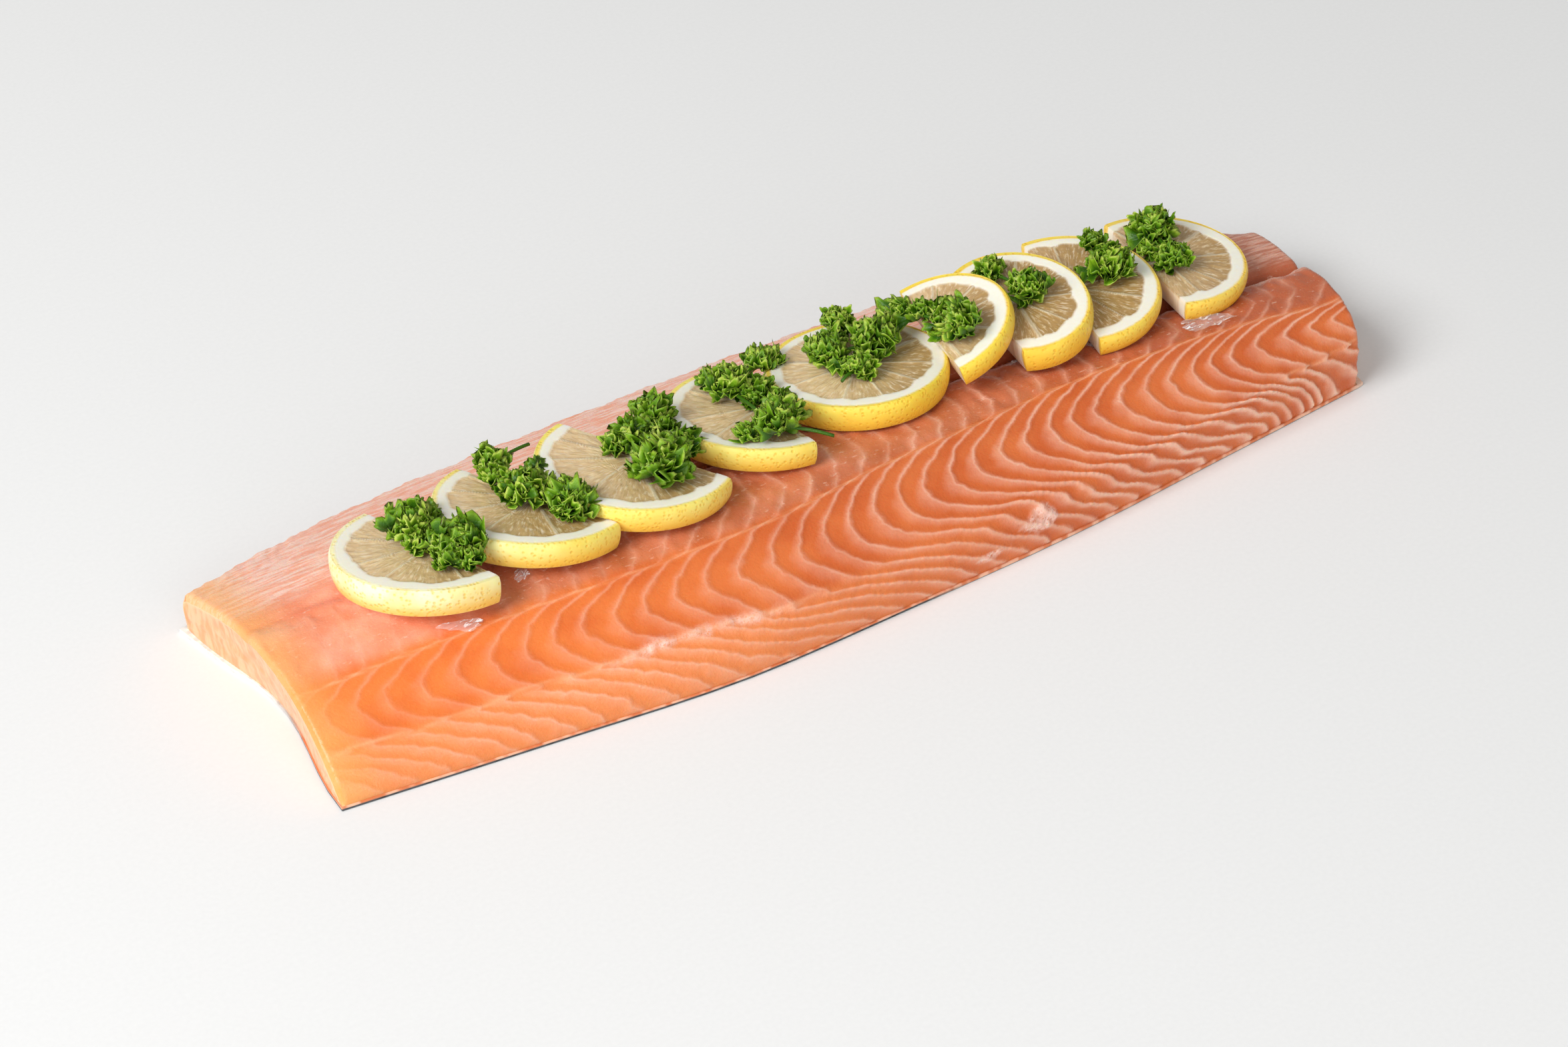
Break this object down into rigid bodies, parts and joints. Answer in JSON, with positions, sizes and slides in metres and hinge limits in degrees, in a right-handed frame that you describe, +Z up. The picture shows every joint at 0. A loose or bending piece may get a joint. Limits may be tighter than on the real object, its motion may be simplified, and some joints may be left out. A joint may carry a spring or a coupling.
{
  "type": "salmon fillet with lemon slices",
  "caption": "Raw side of salmon lying skin side down, a long thick fillet topped along its length with overlapping lemon slices and sprigs of curly parsley.",
  "frame": {"origin": "under the middle of the fillet, on the surface that its skin rests on", "axes": "+X along the fillet from the head end to the tail end, +Y from the thick loin edge to the belly edge, +Z up"},
  "size_m": [0.3718, 0.1242, 0.0529],
  "materials": {
    "flesh": "wet, slightly translucent raw fish with pale flake lines",
    "skin": "wet scaly fish skin, dark on the loin and silvery white on the belly",
    "lemon": "waxy dimpled yellow rind, matt white pith and wet translucent pulp",
    "parsley": "fresh curly leaf, softly glossy",
    "film": "clear crinkled wrapping film"
  },
  "bodies": {
    "root": {"fillet": "flesh", "skin": "skin", "lemon_1": "lemon", "lemon_2": "lemon", "lemon_3": "lemon", "lemon_4": "lemon", "lemon_5": "lemon", "lemon_6": "lemon", "lemon_7": "lemon", "lemon_8": "lemon", "lemon_9": "lemon", "parsley_1": "parsley", "parsley_2": "parsley", "parsley_3": "parsley", "parsley_4": "parsley", "parsley_5": "parsley", "parsley_6": "parsley", "parsley_7": "parsley", "parsley_8": "parsley", "parsley_9": "parsley", "film_1": "film", "film_2": "film", "film_3": "film", "film_4": "film"}
  },
  "joints": []
}
